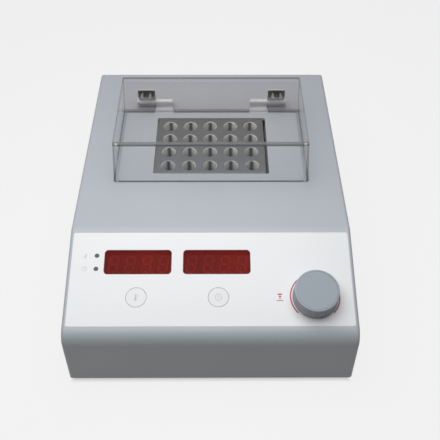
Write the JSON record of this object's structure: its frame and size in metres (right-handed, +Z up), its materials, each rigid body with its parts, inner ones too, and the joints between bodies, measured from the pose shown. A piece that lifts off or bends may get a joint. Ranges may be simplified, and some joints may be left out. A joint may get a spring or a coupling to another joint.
{
  "type": "dry bath incubator",
  "caption": "Bench heater for sample tubes: metal block with wells under a clear hinged lid, sloping panel with red displays, keys and a knob.",
  "frame": {"origin": "middle of the footprint, at the level of the feet's lower faces", "axes": "+X is the object's right as the user faces it, +Y is towards its rear, +Z is up"},
  "size_m": [0.21, 0.2876, 0.1168],
  "materials": {
    "housing_plastic": "moulded ABS, satin",
    "chassis_steel": "folded zinc-plated sheet",
    "foot_rubber": "moulded rubber",
    "screw_steel": "zinc-plated steel",
    "bright_steel": "polished stainless steel",
    "hinge_metal": "satin stainless steel",
    "overlay_film": "printed polyester film",
    "red_filter": "tinted acrylic",
    "display_housing": "moulded plastic",
    "display_light": "diffusing resin",
    "lamp_plastic": "tinted acrylic",
    "lamp_resin": "epoxy resin",
    "board_laminate": "glass epoxy laminate",
    "key_plastic": "moulded plastic",
    "black_plastic": "moulded plastic",
    "encoder_metal": "die-cast and stamped metal",
    "knob_plastic": "moulded, ribbed",
    "knob_cap_plastic": "moulded plastic",
    "block_aluminium": "machined and anodised",
    "silicone_mat": "silicone rubber",
    "insulation_fibre": "glass fibre felt",
    "clear_cover": "clear moulded acrylic",
    "contact_brass": "nickel-plated brass",
    "fuse_glass": "glass tube with metal caps",
    "transformer_steel": "laminated core, taped coil",
    "terminal_plastic": "moulded plastic"
  },
  "bodies": {
    "base": {"top_housing": "housing_plastic", "chassis_pan": "chassis_steel", "rubber_feet": "foot_rubber", "case_screws": "screw_steel", "panel_overlay": "overlay_film", "display_window_left": "red_filter", "display_window_right": "red_filter", "display_left": "display_housing", "display_right": "display_housing", "display_segments": "display_light", "status_lenses": "lamp_plastic", "status_leds": "lamp_resin", "control_board": "board_laminate", "board_screws": "screw_steel", "key_switches": "black_plastic", "encoder_body": "encoder_metal", "encoder_nut": "screw_steel", "well_frame": "black_plastic", "heater_plate": "block_aluminium", "temperature_sensor": "encoder_metal", "heater_mat": "silicone_mat", "insulation_pad": "insulation_fibre", "thermal_cutout": "encoder_metal", "clamp_plate": "chassis_steel", "stack_standoffs": "screw_steel", "stack_screws": "screw_steel", "hinge_foot_left": "hinge_metal", "hinge_foot_right": "hinge_metal", "hinge_pins": "bright_steel", "hinge_foot_nuts": "screw_steel", "mains_inlet": "black_plastic", "inlet_blades": "contact_brass", "switch_frame": "black_plastic", "switch_pivot": "screw_steel", "power_board": "board_laminate", "power_standoffs": "screw_steel", "power_screws": "screw_steel", "board_transformer": "transformer_steel", "power_capacitors": "black_plastic", "heat_sink": "block_aluminium", "triac": "black_plastic", "terminal_block": "terminal_plastic"},
    "lid": {"lid_cover": "clear_cover", "hinge_leaf_left": "hinge_metal", "hinge_leaf_right": "hinge_metal", "leaf_screws": "bright_steel"},
    "block": {"heating_block": "block_aluminium"},
    "knob_push": {"push_plunger": "black_plastic"},
    "knob": {"encoder_shaft": "bright_steel", "control_knob": "knob_plastic", "knob_cap": "knob_cap_plastic", "knob_set_screw": "screw_steel"},
    "left_key": {"key_left": "key_plastic", "key_plunger_left": "black_plastic"},
    "right_key": {"key_right": "key_plastic", "key_plunger_right": "black_plastic"},
    "rocker": {"rocker_button": "black_plastic"},
    "drawer": {"fuse_drawer": "black_plastic", "fuses": "fuse_glass"}
  },
  "joints": [
    {"name": "lid_hinge", "type": "hinge", "parent": "base", "child": "lid", "pos_m": [0, 0.091, 0.0856], "axis": [-1, 0, 0], "range_deg": [0, 105]},
    {"name": "block_lift", "type": "slide", "parent": "base", "child": "block", "axis": [0, 0, 1], "range_m": [0, 0.033]},
    {"name": "knob_press", "type": "slide", "parent": "base", "child": "knob_push", "axis": [0, 0.2974, -0.9548], "range_m": [0, 0.0005], "stiffness_N_per_m": 2000, "springref_m": -0.0015},
    {"name": "knob_turn", "type": "hinge", "parent": "knob_push", "child": "knob", "pos_m": [0.0748, -0.11373, 0.06364], "axis": [0, -0.2974, 0.9548], "continuous": true},
    {"name": "left_key_press", "type": "slide", "parent": "base", "child": "left_key", "axis": [0, 0.2974, -0.9548], "range_m": [0, 0.0005], "stiffness_N_per_m": 800, "springref_m": -0.0015},
    {"name": "right_key_press", "type": "slide", "parent": "base", "child": "right_key", "axis": [0, 0.2974, -0.9548], "range_m": [0, 0.0005], "stiffness_N_per_m": 800, "springref_m": -0.0015},
    {"name": "rocker_tilt", "type": "hinge", "parent": "base", "child": "rocker", "pos_m": [-0.008, 0.138, 0.038], "axis": [1, 0, 0], "range_deg": [0, 14]},
    {"name": "drawer_slide", "type": "slide", "parent": "base", "child": "drawer", "axis": [0, 1, 0], "range_m": [0, 0.016]}
  ]
}
